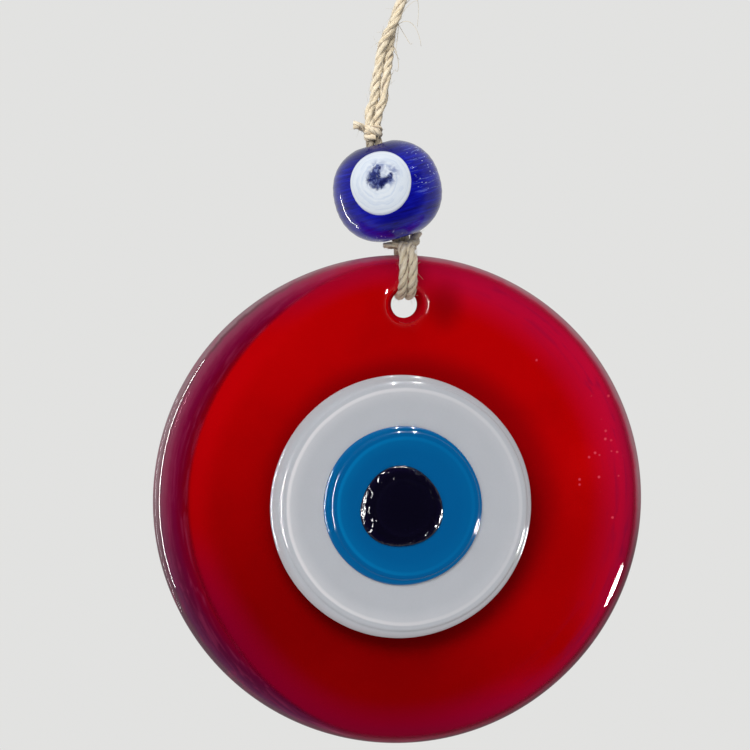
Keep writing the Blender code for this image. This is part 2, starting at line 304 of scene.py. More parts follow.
def settle_bent(piece, slot, bodies, joint, above, below, *nodes):
    """For a piece that passes a joint's point: it stands for CAD nodes, which it hides, and its place is
    baked into its mesh. The slot and the bodies are not used.
    """
    if nodes:
        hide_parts(*nodes)
    high, low = joint + Vector((0, 0, above)), joint - Vector((0, 0, below))
    tuple(high * MM)
    tuple(low * MM)
    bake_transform(piece)


def numbered(rings, segments, first=0):
    """Vertex numbers of rings that follow one another."""
    return [[first + k * segments + i for i in range(segments)] for k in range(rings)]


def skin(rings, segments):
    """Faces between rings of vertex numbers; a ring of one number is a point."""
    faces = []
    for low, high in zip(rings, rings[1:]):
        for i in range(segments):
            j = (i + 1) % segments
            quad = [low[i % len(low)], low[j % len(low)], high[j % len(high)], high[i % len(high)]]
            faces.append(list(dict.fromkeys(quad)))
    return faces


def tube_faces(count, sides, first=0):
    """Faces of a tube of rings with closed ends."""
    rings = numbered(count, sides, first)
    return skin(rings, sides) + [rings[0][::-1], rings[-1]]


def turned(name, profile, segments, place, look, wobble=lambda t: 0.0):
    """Turn a closed (radius, height) profile from axis to axis; place maps x, y, h to the world."""
    reach = max(r for r, _ in profile)
    verts = []
    rings = []
    for r, h in profile:
        ring = []
        for t in around(segments) if r > 1e-6 else [0.0]:
            out = r * (1 + wobble(t) * (r / reach))
            ring.append(len(verts))
            verts.append(place(out * cos(t), out * sin(t), h))
        rings.append(ring)
    return outward(mesh_piece(name, verts, skin(rings, segments), look))


def arc(cr, ch, ar, ah, start, end, steps):
    """Points of an elliptic arc about (cr, ch), its angles in degrees."""
    angles = [radians(start + (end - start) * i / steps) for i in range(steps + 1)]
    return [(cr + ar * cos(t), ch + ah * sin(t)) for t in angles]


def line(r0, h0, r1, h1, steps):
    """Points after the first, up to the last."""
    return [(r0 + (r1 - r0) * i / steps, h0 + (h1 - h0) * i / steps) for i in range(1, steps + 1)]


def spline(points, steps):
    """A smooth curve through points, with a number of steps between each two."""
    pts = [Vector(p) for p in points]
    pts = [pts[0] * 2 - pts[1], *pts, pts[-1] * 2 - pts[-2]]
    out = []
    for a, b, c, d in zip(pts, pts[1:], pts[2:], pts[3:]):
        for i in range(steps):
            t = i / steps
            pull = (c - a) * t + (a * 2 - b * 5 + c * 4 - d) * t * t + (b * 3 - a - c * 3 + d) * t**3
            out.append(b + pull * 0.5)
    out.append(pts[-2])
    return out


def ease(value, start, end):
    """Smooth step from 0 to 1 as a value goes from start to end."""
    t = min(max((value - start) / (end - start), 0.0), 1.0)
    return t * t * (3 - 2 * t)


def uneven(t, seed, size, bumps=1.3):
    """Slow change of radius round a poured edge, as a share of the radius."""
    return size * noise.noise(Vector((bumps * cos(t), bumps * sin(t), seed)))


# ---------------- glass looks
def disc_zones(x, z):
    """Radius, distance inside the red's edge, and a measure of how far towards a side a point lies."""
    r = radius_about(x, z, (0.0, 0.0))

    def facing(a, b):
        return (x * a + z * b) / DISC_R

    clear_side = facing(cos(RED_SHORT_AT), sin(RED_SHORT_AT))
    share = span(clear_side * DISC_R / r, 0.03, 1.0)
    return r, RED_FULL - share * RED_SHORT - r, facing


def rim_streaks(vector, inside, z, across, drift_scale, drift, along):
    """Noise drawn out along the disc's edge."""
    wander = grain(vector, drift_scale, 2.0) * drift
    return grain(combined(inside * across, wander, z * along), 1.0)


def wine_border(vector, r, facing):
    """Colour of the glass past the red, by radius: plum at the left, rose at the right that is a painted
    reflection, and a pale painted edge highlight at the outermost rim.
    """
    rim = r + span(grain(vector, 0.5), 0.3, 0.7, -0.08, 0.08)
    out = output(add(vector.tree, "MapRange", {0: rim, 1: DISC_R - BORDER, 2: DISC_R}))
    # the last stop is a pale painted edge highlight at the outermost rim
    plum = ramp(out, [
        (0.28, (0.23, 0.0, 0.008)), (0.43, (0.205, 0.0, 0.022)), (0.58, (0.22, 0.003, 0.042)),
        (0.69, (0.26, 0.016, 0.065)), (0.8, (0.31, 0.05, 0.105)), (0.86, (0.3, 0.07, 0.12)),
        (0.91, (0.19, 0.07, 0.095)), (0.97, (0.34, 0.21, 0.24)),
    ])
    # rose at the right is a painted reflection, ending in a pale painted edge highlight at the outermost rim
    rose = ramp(out, [
        (0.0, (0.6, 0.001, 0.025)), (0.43, (0.52, 0.001, 0.025)), (0.78, (0.52, 0.008, 0.045)),
        (0.86, (0.5, 0.02, 0.065)), (0.91, (0.48, 0.1, 0.15)), (0.97, (0.44, 0.2, 0.23)),
    ])
    deep = ramp(out, [
        (0.3, (0.25, 0.0, 0.015)), (0.43, (0.2, 0.0, 0.022)), (0.58, (0.13, 0.003, 0.034)),
        (0.69, (0.11, 0.006, 0.04)), (0.79, (0.12, 0.014, 0.06)), (0.86, (0.14, 0.028, 0.085)),
        (0.97, (0.14, 0.05, 0.08)),
    ])
    foot = ramp(out, [(0.7, (0.3, 0.0, 0.022)), (0.9, (0.24, 0.004, 0.032)), (0.97, (0.15, 0.01, 0.034))])
    colour = mixed(span(facing(1.0, 0.45), -0.25, 0.45), plum, rose)
    colour = mixed(span(facing(-0.6, -0.8), 0.45, 0.95), colour, deep)
    return mixed(span(facing(0.55, -0.84), 0.45, 0.8), colour, foot)


def glass_shell_look():
    """Clear glass, wine coloured past the red. Light falls straight through it on to the red."""
    look, tree, shader = new_look("disc_clear_glass")
    vector, x, y, z = millimetres(tree)
    r, inside, facing = disc_zones(x, z)
    streak = rim_streaks(vector, inside, z, 1.6, 0.06, 9.0, 0.07)
    colour = mixed(span(streak, 0.45, 0.75, 0.0, 0.38), wine_border(vector, r, facing), (0.4, 0.04, 0.12))
    near_hole = radius_about(x, z, (HOLE.x, HOLE.z))
    wall = span(near_hole, HOLE_R + 0.5, HOLE_R + 0.9, 1.0, 0.0)
    colour = mixed(wall, colour, (0.42, 0.001, 0.006))
    past = calc("MAXIMUM", span(inside, 0.7, -0.3), wall)
    tint = mixed(past, (1.0, 0.94, 0.95), colour)
    normal = bump(grain(vector, 0.12, 1.0), 0.1, 0.35)
    normal = bump(span(grain(vector, 2.4, 2.0), 0.72, 0.82), 0.02, 0.25, normal)
    fill(shader, {
        "Transmission Weight": 1.0, "IOR": 1.46, "Base Color": tint, "Roughness": 0.015, "Normal": normal,
    })
    milk = output(add(tree, "BsdfPrincipled", {
        "Base Color": colour, "Roughness": 0.4, "Specular IOR Level": 0.0,
        "Coat Weight": 1.0 - wall, "Coat Roughness": 0.02, "Coat Normal": normal,
    }))
    share = calc("MAXIMUM", past * 0.86, wall)
    body = output(add(tree, "MixShader", {0: share, 1: output(shader), 2: milk}))
    path = add(tree, "LightPath")
    through = calc("MAXIMUM", output(path, "Is Shadow Ray"), output(path, "Is Diffuse Ray"))
    clear = output(add(tree, "BsdfTransparent", {0: mixed(0.6, tint, (1.0, 1.0, 1.0))}))
    both = output(add(tree, "MixShader", {0: through, 1: body, 2: clear}))
    put(tree.nodes["Material Output"].inputs["Surface"], both)
    return look


# Colours along the red's edge: width, side, where on that side it starts and is full, strength, colour. The
# rose row at the upper right is a painted reflection.
VEILS = (
    (6.0, (-1.0, 0.0), (0.2, 0.7), 0.8, (0.8, 0.0, 0.004)),
    # painted reflection: rose veil at the upper right
    (8.5, (0.9, 0.5), (0.3, 0.8), 1.0, (0.64, 0.004, 0.046)),
    (2.6, (1.0, -0.15), (0.7, 0.92), 0.7, (0.3, 0.004, 0.04)),
    (7.0, (-0.35, -0.95), (0.35, 0.75), 1.0, (0.58, 0.0, 0.05)),
    (3.0, (0.5, -0.85), (0.45, 0.8), 0.8, (0.5, 0.004, 0.05)),
    (5.0, (0.1, 1.0), (0.6, 0.9), 0.8, (0.48, 0.003, 0.045)),
)


def painted_front_shade(x, z, inside, colour):
    """Painted shade on the red's front: a painted shadow beside the hole and round the white, darker along
    the edge, and painted shade low at the left and in the white's shadow at the right.
    """
    # painted shadow: of the twine beside the hole, and of the white layer round it
    beside_hole = radius_about(x, z * 0.75, (HOLE.x + 6.5, HOLE.z * 0.75))
    round_white = radius_about(x, z, (WHITE_AT[0] + 2.2, WHITE_AT[1] + 0.8))
    white_shadow = span(round_white, WHITE_REACH - 0.5, WHITE_REACH + 4.5, 0.4, 0.0)
    shadow = calc("MAXIMUM", span(beside_hole, 0.5, 4.5, 0.45, 0.0), white_shadow)
    colour = mixed(shadow, colour, (0.12, 0.0, 0.003))
    colour = mixed(span(inside, 0.9, 0.2) * 0.25, colour, (0.1, 0.0, 0.008))
    # painted shade: darker low at the left and at the right of the white, lightest at the upper right
    low_left = radius_about(x, z, (-0.4 * DISC_R, -0.9 * DISC_R))
    low_right = radius_about(x, z, (0.75 * DISC_R, -0.15 * DISC_R))
    light = span(low_left, 0.35 * DISC_R, 1.55 * DISC_R, 0.47, 1.0)
    light = light * span(low_right, 0.1 * DISC_R, 0.4 * DISC_R, 0.84, 1.0)
    return mixed(1.0 - light, colour, (0.0, 0.0, 0.0))


def painted_glints(vector, x, z):
    """Painted glints: a few bright specks of mixed size, most of them in a cluster at the right."""
    cells = add(vector.tree, "TexVoronoi", {"Vector": vector, "Scale": 1.1}, feature="F1")
    chance, size, _ = parts(output(cells, "Color"), "Color")
    reach = span(size, 0.0, 1.0, 0.1, 0.36)
    speck = span(output(cells, "Distance") / reach, 0.3, 1.0, 1.0, 0.0)
    cluster = radius_about(x, z * 0.7, (0.84 * DISC_R, 0.13 * DISC_R))
    crowd = span(cluster, 0.04 * DISC_R, 0.26 * DISC_R, 0.36, -0.22) + chance
    patchy = (grain(vector, 0.25, 1.0) - 0.5) * 0.8
    return speck * span(crowd + patchy, 0.93, 0.97)


def red_look():
    """Red glass, poured unevenly, crimson below, with a rose veil at the right that is a painted reflection.
    Its back has no painted shade and no painted glints.
    """
    look, tree, shader = new_look("disc_red_glass")
    vector, x, y, z = millimetres(tree)
    r, inside, facing = disc_zones(x, z)
    fine = grain(vector, 0.6)
    tone = grain(vector, 0.05) + (fine - 0.5) * 0.12
    colour = ramp(tone, [(0.25, (0.48, 0.0, 0.001)), (0.55, (0.56, 0.0, 0.001)), (0.8, (0.64, 0.001, 0.002))])
    for wide, side, (start, full), strength, over in VEILS:
        share = span(inside, wide, 0.0) * span(facing(*side), start, full)
        colour = mixed(share * strength, colour, over)
    streak = span(rim_streaks(vector, inside, z, 1.1, 0.05, 7.0, 0.05), 0.5, 0.72)
    outer = span(inside, 6.0, 1.0) * span(facing(1.0, 0.1), 0.1, 0.7)
    plain = mixed(streak * outer * 0.55, colour, (0.3, 0.004, 0.05))
    shaded = painted_front_shade(x, z, inside, plain)
    # painted glints in pink over the front
    shaded = mixed(painted_glints(vector, x, z), shaded, (0.88, 0.07, 0.12))
    # painted shade and painted glints show on the front only; the back keeps the plain colour
    colour = mixed(span(y, -1.2, -1.7), plain, shaded)
    fill(shader, {
        "Base Color": colour, "Roughness": 0.6, "Specular IOR Level": 0.0,
        "Normal": bump(fine, 0.05, 0.3),
    })
    return look


def enamel_look(name, at, reach, colours, step, rough=0.15):
    """Opaque glass poured as a drop: a main colour, its edge colour, and a paler ring and broad halo on the
    raised step that are a painted highlight, strongest at the left.
    """
    # the third colour, crest, is the painted highlight colour of the raised ring
    flat, edge, crest = colours
    look, tree, shader = new_look(name)
    vector, x, y, z = millimetres(tree)
    cloud = grain(vector, 0.16) - 0.5
    fine = grain(vector, 3.0, 2.0)
    tone = (cloud * 0.08 + 1.0) + (fine - 0.5) * 0.05
    inside = reach - (radius_about(x, z, (at[0] + SLUMP, at[1])) + cloud * 0.25)
    risen = span(inside, step, step + 0.3)
    # painted highlight on the raised step: a paler ring and a broad painted halo, full at the left and weaker
    # at the right
    ring = risen * span(inside, step + 0.45, step + 1.1, 1.0, 0.0)
    painted_halo = risen * span(inside, step + 0.3, step + 3.0, 0.35, 0.0)
    at_left = span(x - at[0], -reach, reach, 1.0, 0.4)
    colour = mixed(calc("MAXIMUM", ring, painted_halo) * at_left, mixed(1.0, flat, tone, "MULTIPLY"), crest)
    colour = mixed(span(reach - radius_about(x, z, at), 0.1, 1.6, 0.85, 0.0), colour, edge)
    normal = bump(grain(vector, 0.22, 1.0), 0.12, 0.12)
    normal = bump(span(fine, 0.7, 0.78), 0.02, 0.2, normal)
    fill(shader, {
        "Base Color": colour, "Roughness": span(fine, 0.3, 0.8, rough, rough + 0.05),
        "Specular IOR Level": 0.1, "Coat Weight": 1.0, "Coat Roughness": 0.02,
        "Normal": normal, "Coat Normal": normal,
    })
    return look, vector, x, z, shader


# ---------------- the disc
def front_facing(at):
    """Map a turned piece's own x, y and height to the disc: heights grow towards the viewer."""
    return lambda a, b, h: ((at[0] + a) * MM, -h * MM, (at[1] + b) * MM)


def hole_cutter(low, high, narrow, wide, lip):
    """Cutter for the hanging hole: narrowest near the back, opening to a rounded lip in front."""
    spare = 3
    back = 0.5
    profile = [(0, low - spare), (narrow + back, low - spare)]
    profile += arc(narrow + back, low + back, back, back, 270, 180, 6)
    profile += line(narrow, low + back, wide, high - lip, 4)
    profile += arc(wide + lip, high - lip, lip, lip, 180, 90, 14)[1:]
    profile += [(wide + lip, high + spare), (0, high + spare)]
    look = bpy.data.materials.new("cutter")
    return turned("cutter", profile, 96, front_facing((HOLE.x, HOLE.z)), look)


def apply(target, kind, **settings):
    """Add a modifier and apply it."""
    step = target.modifiers.new("step", kind)
    for key, value in settings.items():
        setattr(step, key, value)
    bpy.context.view_layer.objects.active = target
    bpy.ops.object.modifier_apply(modifier=step.name)


def cut(target, cutter):
    apply(target, "BOOLEAN", operation="DIFFERENCE", solver="EXACT", object=cutter)
    while len(target.data.materials) > 1:
        target.data.materials.pop(index=1)
    bpy.data.objects.remove(cutter, do_unlink=True)
    smooth(target)


def disc_profile():
    """The clear disc: a flat back, a rounded rim and a flat front."""
    widest = 2.4
    flat_r = 27.5
    back_r = 36.6
    back_rise = 0.45
    front_r = 34.2
    points = [(0.0, 0.0)] + line(0, 0, flat_r, 0, 18)
    points += line(flat_r, 0, back_r, back_rise, 8)
    points += arc(back_r, widest, DISC_R - back_r, widest - back_rise, -90, 0, 12)[1:]
    points += arc(front_r, widest, DISC_R - front_r, DISC_FRONT - widest, 0, 90, 22)[1:]
    return points + line(front_r, DISC_FRONT, 0, DISC_FRONT, 4)


def red_profile():
    """The red layer inside the disc, with a rounded edge."""
    middle = (RED_BACK + RED_TOP) / 2
    bulge = 0.5
    straight = RED_FULL - bulge
    points = [(0.0, RED_BACK)] + line(0, RED_BACK, straight, RED_BACK, 10)
    points += arc(straight, middle, bulge, RED_TOP - middle, -90, 90, 8)[1:]
    return points + line(straight, RED_TOP, 0, RED_TOP, 16)


def build_disc():
    def not_quite_round(t):
        return 0.01 * cos(t) ** 2 + uneven(t, 3.1, 0.003)

    def short_at_left(t):
        short = RED_SHORT * ease(cos(t - RED_SHORT_AT), 0.03, 1.0)
        return -short / RED_FULL + uneven(t, 7.7, 0.004, 1.6)

    place = front_facing((0.0, 0.0))
    shell = turned("disc_glass", disc_profile(), 256, place, glass_shell_look(), not_quite_round)
    cut(shell, hole_cutter(0.0, DISC_FRONT, HOLE_R - 0.1, HOLE_R, HOLE_LIP))
    apply(shell, "WEIGHTED_NORMAL", mode="FACE_AREA", weight=80)
    settle(shell, "red_glass", "disc", "red_disc")

    red = turned("disc_red_layer", red_profile(), 200, place, red_look(), short_at_left)
    cut(red, hole_cutter(-1.0, 4.0, HOLE_R + 0.1, HOLE_R + 0.1, 0.2))
    red.data.set_sharp_from_angle(angle=radians(40))
    settle(red, "red_glass", "disc")


def drop_profile(reach, under, rise, top, foot, crest):
    """A poured drop: a rounded foot, a rounded step up, a soft raised ring and a faint hollow."""
    step = rise + (top - rise) * 0.62
    points = [(0.0, under)] + line(0, under, reach * 0.96, under, 8)
    points += arc(reach - foot, rise, foot, step - rise, 0, 82, 14)
    inner = reach - foot - 0.75
    points += arc(inner, step + 0.03, 0.62, top - step - 0.03, 8, 86, 12)
    ring = ((0.5, 0.7), (1.0, 1.0), (1.6, 0.8), (2.3, 0.2), (3.0, 0.0))
    points += [(inner - back, top + crest * share) for back, share in ring]
    return points + line(inner - 3.0, top, 0, top, 10)


def build_drop(node, slot, below, look, foot, crest, segments, seed, size):
    """A round layer that starts a little inside the one below; its upper part has slipped to the right."""
    (x, z), reach = centre_of(node)
    rise, top = below + 0.12, top_of(node)

    def slumped(a, b, h):
        return ((x + a + SLUMP * ease(h, rise, top)) * MM, -h * MM, (z + b) * MM)

    profile = drop_profile(reach, below - 0.25, rise, top, foot, crest)
    piece = turned(node + "_glass", profile, segments, slumped, look, lambda t: uneven(t, seed, size))
    settle(piece, slot, "disc", node)


def build_pupil(below):
    """The dark drop in the middle: three faint lobes, and a broken surface towards its edge."""
    at, reach = centre_of("pupil")
    top = top_of("pupil")
    # main, edge and painted highlight colours
    colours = ((0.003, 0.002, 0.01), (0.004, 0.002, 0.02), (0.004, 0.003, 0.014))
    look, vector, x, z, shader = enamel_look("pupil_enamel", at, reach, colours, 2.0, 0.1)
    ridges = grain(stretched(vector, (1.0, 1.0, 0.7)), 0.75, 1.5, 0.5, 0.6)
    broken = ridges * span(radius_about(x, z, at), reach - 3.5, reach - 1.5, 0.1, 1.0)
    put(shader.inputs["Coat Normal"], bump(broken, 0.6, 0.9))

    foot = 2.6
    under = below - 0.2
    profile = [(0.0, under)] + line(0, under, reach * 0.95, under, 5)
    profile += arc(reach - foot, below + 0.05, foot, top - below - 0.15, 0, 84, 22)
    profile += arc(0, below - 1.0, reach * 1.02, top - below + 1.0, 56, 90, 12)
    profile[-1] = (0.0, top)

    def three_lobes(t):
        return -0.03 + 0.035 * cos(3 * (t - radians(95))) + 0.012 * cos(2 * t)

    piece = turned("pupil_glass", profile, 120, front_facing(at), look, three_lobes)
    settle(piece, "dark_glass", "disc", "pupil")


def build_layers():
    # main, edge and painted highlight colours
    colours = ((0.585, 0.605, 0.65), (0.53, 0.51, 0.54), (0.86, 0.85, 0.88))
    white, *_, shader = enamel_look("white_enamel", WHITE_AT, WHITE_REACH, colours, 1.95)
    fill(shader, {"Subsurface Weight": 0.15, "Subsurface Radius": (1.0, 0.8, 0.8), "Subsurface Scale": MM})
    build_drop("white_layer", "white_glass", DISC_FRONT, white, 1.05, 0.1, 220, 1.7, 0.006)
    # main, edge and painted highlight colours
    colours = ((0.0, 0.123, 0.36), (0.0, 0.14, 0.39), (0.0, 0.2, 0.5))
    blue = enamel_look("blue_enamel", *centre_of("blue_layer"), colours, 1.5, 0.14)[0]
    build_drop("blue_layer", "light_blue_glass", top_of("white_layer"), blue, 0.75, 0.06, 180, 4.4, 0.01)
    build_pupil(top_of("blue_layer"))


# ---------------- the bead
EYE = Vector((-0.278, -0.944, 0.175)).normalized()      # from the bead's centre to its eye
EYE_TURN = EYE.to_track_quat("Z", "Y")
EYE_R = centre_of("bead_eye_white")[1]
# the dark trail on the eye: points across the eye's own plane, and half widths
COMMA = [
    (0.15, 1.95), (-0.35, 2.0), (-0.62, 1.62), (-0.78, 1.05), (-0.88, 0.45), (-0.78, -0.1),
    (-0.38, -0.42), (0.12, -0.28), (0.75, 0.02), (1.35, 0.35), (1.7, 0.8), (1.66, 1.3),
]
COMMA_WIDTHS = [0.35, 0.6, 0.8, 1.02, 1.24, 1.32, 1.22, 1.05, 0.8, 0.65, 0.5, 0.3]


def along(origin, direction):
    """Map a turned piece's own x, y and height to the world, heights along a direction."""
    turn = direction.to_track_quat("Z", "Y")
    return lambda a, b, h: tuple((origin + turn @ Vector((a, b, h))) * MM)


def bead_surface(direction):
    """Distance of the bead's wound surface from its centre along a unit direction."""
    axial = abs(direction.dot(BEAD_AXIS))
    radial = sqrt(max(1 - axial * axial, 0.0))
    return ((radial / BEAD_R) ** BEAD_POWER + (axial / BEAD_HALF) ** BEAD_POWER) ** (-1 / BEAD_POWER)


def crackle(upright, x, z):
    """Small bright flaws, at the right side and low down only."""
    squeezed = stretched(upright, (1.1, 1.1, 2.0))
    cells = add(upright.tree, "TexVoronoi", {"Vector": squeezed, "Scale": 1.3}, feature="F1")
    dot = span(output(cells, "Distance"), 0.12, 0.26, 1.0, 0.0)
    rare = span(parts(output(cells, "Color"), "Color")[0], 0.55, 0.6)
    side = span(x, 3.0, 5.0) * span(z, -2.5, 0.5)
    low = span(z, -5.5, -7.0) * span(x, 1.0, -2.0)
    return dot * rare * calc("MAXIMUM", side, low)


def cobalt_look():
    """Wound cobalt glass: threads round the bore, darker at the top, pale lines and flaws at the right."""
    look, tree, shader = new_look("cobalt_wound_glass")
    vector = millimetres(tree)[0]
    lean = atan2(-BEAD_AXIS.x, BEAD_AXIS.z)
    from_centre = output(add(tree, "VectorMath", {0: vector, 1: tuple(BEAD)}, operation="SUBTRACT"))
    turned_back = {"Vector": from_centre, "Angle": lean}
    upright = output(add(tree, "VectorRotate", turned_back, rotation_type="Y_AXIS"))
    x, y, z = parts(upright)
    threads = grain(stretched(upright, (0.22, 0.22, 2.6)), 1.0, 5.0, 0.65, 0.5)
    colour = ramp(threads * 0.65 + grain(vector, 0.22, 2.0) * 0.35, [
        (0.34, (0.002, 0.001, 0.12)), (0.46, (0.003, 0.003, 0.28)),
        (0.58, (0.005, 0.009, 0.43)), (0.72, (0.03, 0.07, 0.66)),
    ])
    colour = mixed(span(z, 4.6, 7.4, 0.0, 0.75), colour, (0.008, 0.01, 0.1))
    low_left = span(x, -2.0, -7.0) * span(z, -1.0, -6.0)
    colour = mixed(low_left * 0.5, colour, (0.02, 0.006, 0.45))
    right = span(x, 2.5, 4.5) * span(z, -3.5, 0.0)
    lines = grain(stretched(upright, (0.3, 0.3, 4.2)), 1.0, 3.0, 0.6, 0.3)
    colour = mixed(span(lines, 0.58, 0.66) * (right * 0.5), colour, (0.24, 0.32, 0.85))
    colour = mixed(crackle(upright, x, z), colour, (0.6, 0.66, 1.0))
    fill(shader, {
        "Base Color": colour, "Roughness": 0.3, "Specular IOR Level": 0.05, "Coat Weight": 1.0,
        "Coat IOR": 1.35, "Coat Roughness": 0.03,
        "Normal": bump(threads, 0.1, 0.6), "Coat Normal": bump(threads, 0.1, 0.12),
    })
    return look


def bead_white_look():
    """White glass in faint rings, with bluish smoke round the trail and a bluish edge."""
    look, tree, shader = new_look("bead_white_glass")
    place = stored(tree, "eye_place", "Vector")
    a, b, _ = parts(place)
    r = radius_about(a, b, (0.0, 0.0))
    warp = grain(place, 0.5, 2.0)
    bands = grain(combined(r * 2.4 + warp * 2.2, warp * 1.5), 1.0)
    colour = ramp(bands, [(0.3, (0.66, 0.75, 0.9)), (0.5, (0.81, 0.88, 0.97)), (0.7, (0.89, 0.94, 1.0))])
    smoke = stored(tree, "smoke") * span(grain(place, 0.9, 1.5, 0.5, 1.0), 0.3, 0.65)
    colour = mixed(smoke, colour, (0.12, 0.17, 0.42))
    colour = mixed(span(r, EYE_R - 0.5, EYE_R) * 0.5, colour, (0.5, 0.56, 0.85))
    fill(shader, {
        "Base Color": colour, "Roughness": 0.25, "Coat Weight": 1.0, "Coat Roughness": 0.04,
        "Normal": bump(bands, 0.08, 0.45), "Coat Normal": bump(bands, 0.08, 0.2),
    })
    return look


def swirl_look():
    """Streaked dark blue glass that thins out, unevenly, towards the trail's edges."""
    look, tree, shader = new_look("bead_swirl_glass")
    vector = millimetres(tree)[0]
    streak = grain(vector, 0.9, 2.0, 0.5, 1.4)
    thin = stored(tree, "edge") + (grain(vector, 1.1, 1.5, 0.5, 1.0) - 0.5) * 1.4
    fill(shader, {
        "Base Color": ramp(streak, [
            (0.32, (0.01, 0.014, 0.1)), (0.52, (0.035, 0.05, 0.22)), (0.72, (0.22, 0.28, 0.55)),
        ]),
        "Roughness": span(streak, 0.3, 0.7, 0.12, 0.3), "Coat Weight": 0.5,
        "Normal": bump(streak, 0.08, 0.5), "Alpha": span(thin, 0.15, 1.05, 0.95, 0.0),
    })
    return look


def bead_profile(bore, lip, rows):
    """Radius and height round the bead's wall: down its outside, then up its bore."""
    edge = bore + lip
    power = 2 / BEAD_POWER
    last = acos((edge / BEAD_R) ** (1 / power))
    outside = []
    for i in range(rows + 1):
        t = last * (1 - 2 * i / rows)
        height = BEAD_HALF * copysign(abs(sin(t)) ** power, t)
        outside.append((BEAD_R * cos(t) ** power, height))
    end = outside[0][1] - lip
    return outside + arc(edge, -end, lip, lip, 270, 180, 8)[1:] + arc(edge, end, lip, lip, 180, 90, 8)[:-1]


def build_bead():
    bore = 2.2
    segments = 128
    place = along(BEAD, BEAD_AXIS)
    profile = bead_profile(bore, 0.8, 64)
    verts = []
    for r, h in profile:
        for t in around(segments):
            lumps = noise.noise(Vector((cos(t), sin(t), h * 0.12)) * 1.4)
            swell = 1 + 0.012 * lumps * ease(r, bore, 6)
            swell += 0.0025 * sin(h * 5.0 + sin(t) * 0.8) * ease(r, 4, 7)
            verts.append(place(r * swell * cos(t), r * swell * sin(t), h))
    rings = numbered(len(profile), segments)
    faces = skin(rings + rings[:1], segments)
    bead = outward(mesh_piece("bead_glass", verts, faces, cobalt_look()))
    settle(bead, "cobalt_glass", "bead", "bead_body")
    build_eye_dot()
    build_eye_trail()


def on_bead(a, b, lift):
    """World point above the bead's surface at a, b across the eye's own plane."""
    flat = Vector((a, b, sqrt(max(8.6**2 - a * a - b * b, 0.01))))
    direction = (EYE_TURN @ flat).normalized()
    return (BEAD + direction * (bead_surface(direction) + lift)) * MM


def build_eye_dot():
    """The white dot: a low dome with a rolled edge, closed below inside the bead."""
    circles = 26
    segments = 96
    turns = around(segments)
    verts = []
    place = []
    for k in range(circles + 1):
        share = k / circles
        lift = 0.16 * sqrt(max(1 - share**6, 0.0)) - 0.1 * ease(share, 0.94, 1.0)
        for t in turns if k else turns[:1]:
            r = EYE_R * (1 + 0.035 * cos(2 * t + 3.0) + uneven(t, 9.0, 0.02, 1.0)) * share
            a, b = r * cos(t), r * sin(t)
            verts.append(on_bead(a, b, lift))
            place.append((a, b, 0.0))
    for t in turns:
        verts.append(on_bead(EYE_R * 0.96 * cos(t), EYE_R * 0.96 * sin(t), -0.5))
        place.append((EYE_R * cos(t), EYE_R * sin(t), 0.0))
    verts.append((BEAD + EYE * 7.6) * MM)
    place.append((0.0, 0.0, 0.0))
    rings = [[0], *numbered(circles + 1, segments, 1), [len(verts) - 1]]
    eye = mesh_piece("bead_eye_dot", verts, skin(rings, segments), bead_white_look())
    near = [min(dist((a, b), spot) for spot in COMMA) for a, b, _ in place]
    store(eye, "smoke", [1 - ease(d, 0.3, 1.7) for d in near])
    store(eye, "eye_place", place, "FLOAT_VECTOR")
    settle(outward(eye), "bead_white_glass", "bead", "bead_eye_white")


def build_eye_trail():
    """The dark trail on the dot: a flat, ragged tube along the comma."""
    sides = 14
    ridge = spline([(a, b, width) for (a, b), width in zip(COMMA, COMMA_WIDTHS)], 7)
    verts = []
    edges = []
    for i, p in enumerate(ridge):
        before, after = ridge[max(i - 1, 0)], ridge[min(i + 1, len(ridge) - 1)]
        ahead = Vector((after.x - before.x, after.y - before.y)).normalized()
        for k, t in enumerate(around(sides)):
            ragged = 1 + 0.12 * noise.noise(Vector((i * 0.35, k * 0.9, 2.0)))
            offset = p.z * ragged * cos(t)
            lift = 0.15 + 0.1 * sin(t) * min(p.z / 0.5, 1.0)
            verts.append(on_bead(p.x - ahead.y * offset, p.y + ahead.x * offset, lift))
            edges.append(abs(cos(t)))
    swirl = mesh_piece("bead_eye_trail", verts, tube_faces(len(ridge), sides), swirl_look())
    store(swirl, "edge", edges)
    settle(outward(swirl), "swirl_glass", "bead", "bead_eye_swirl")


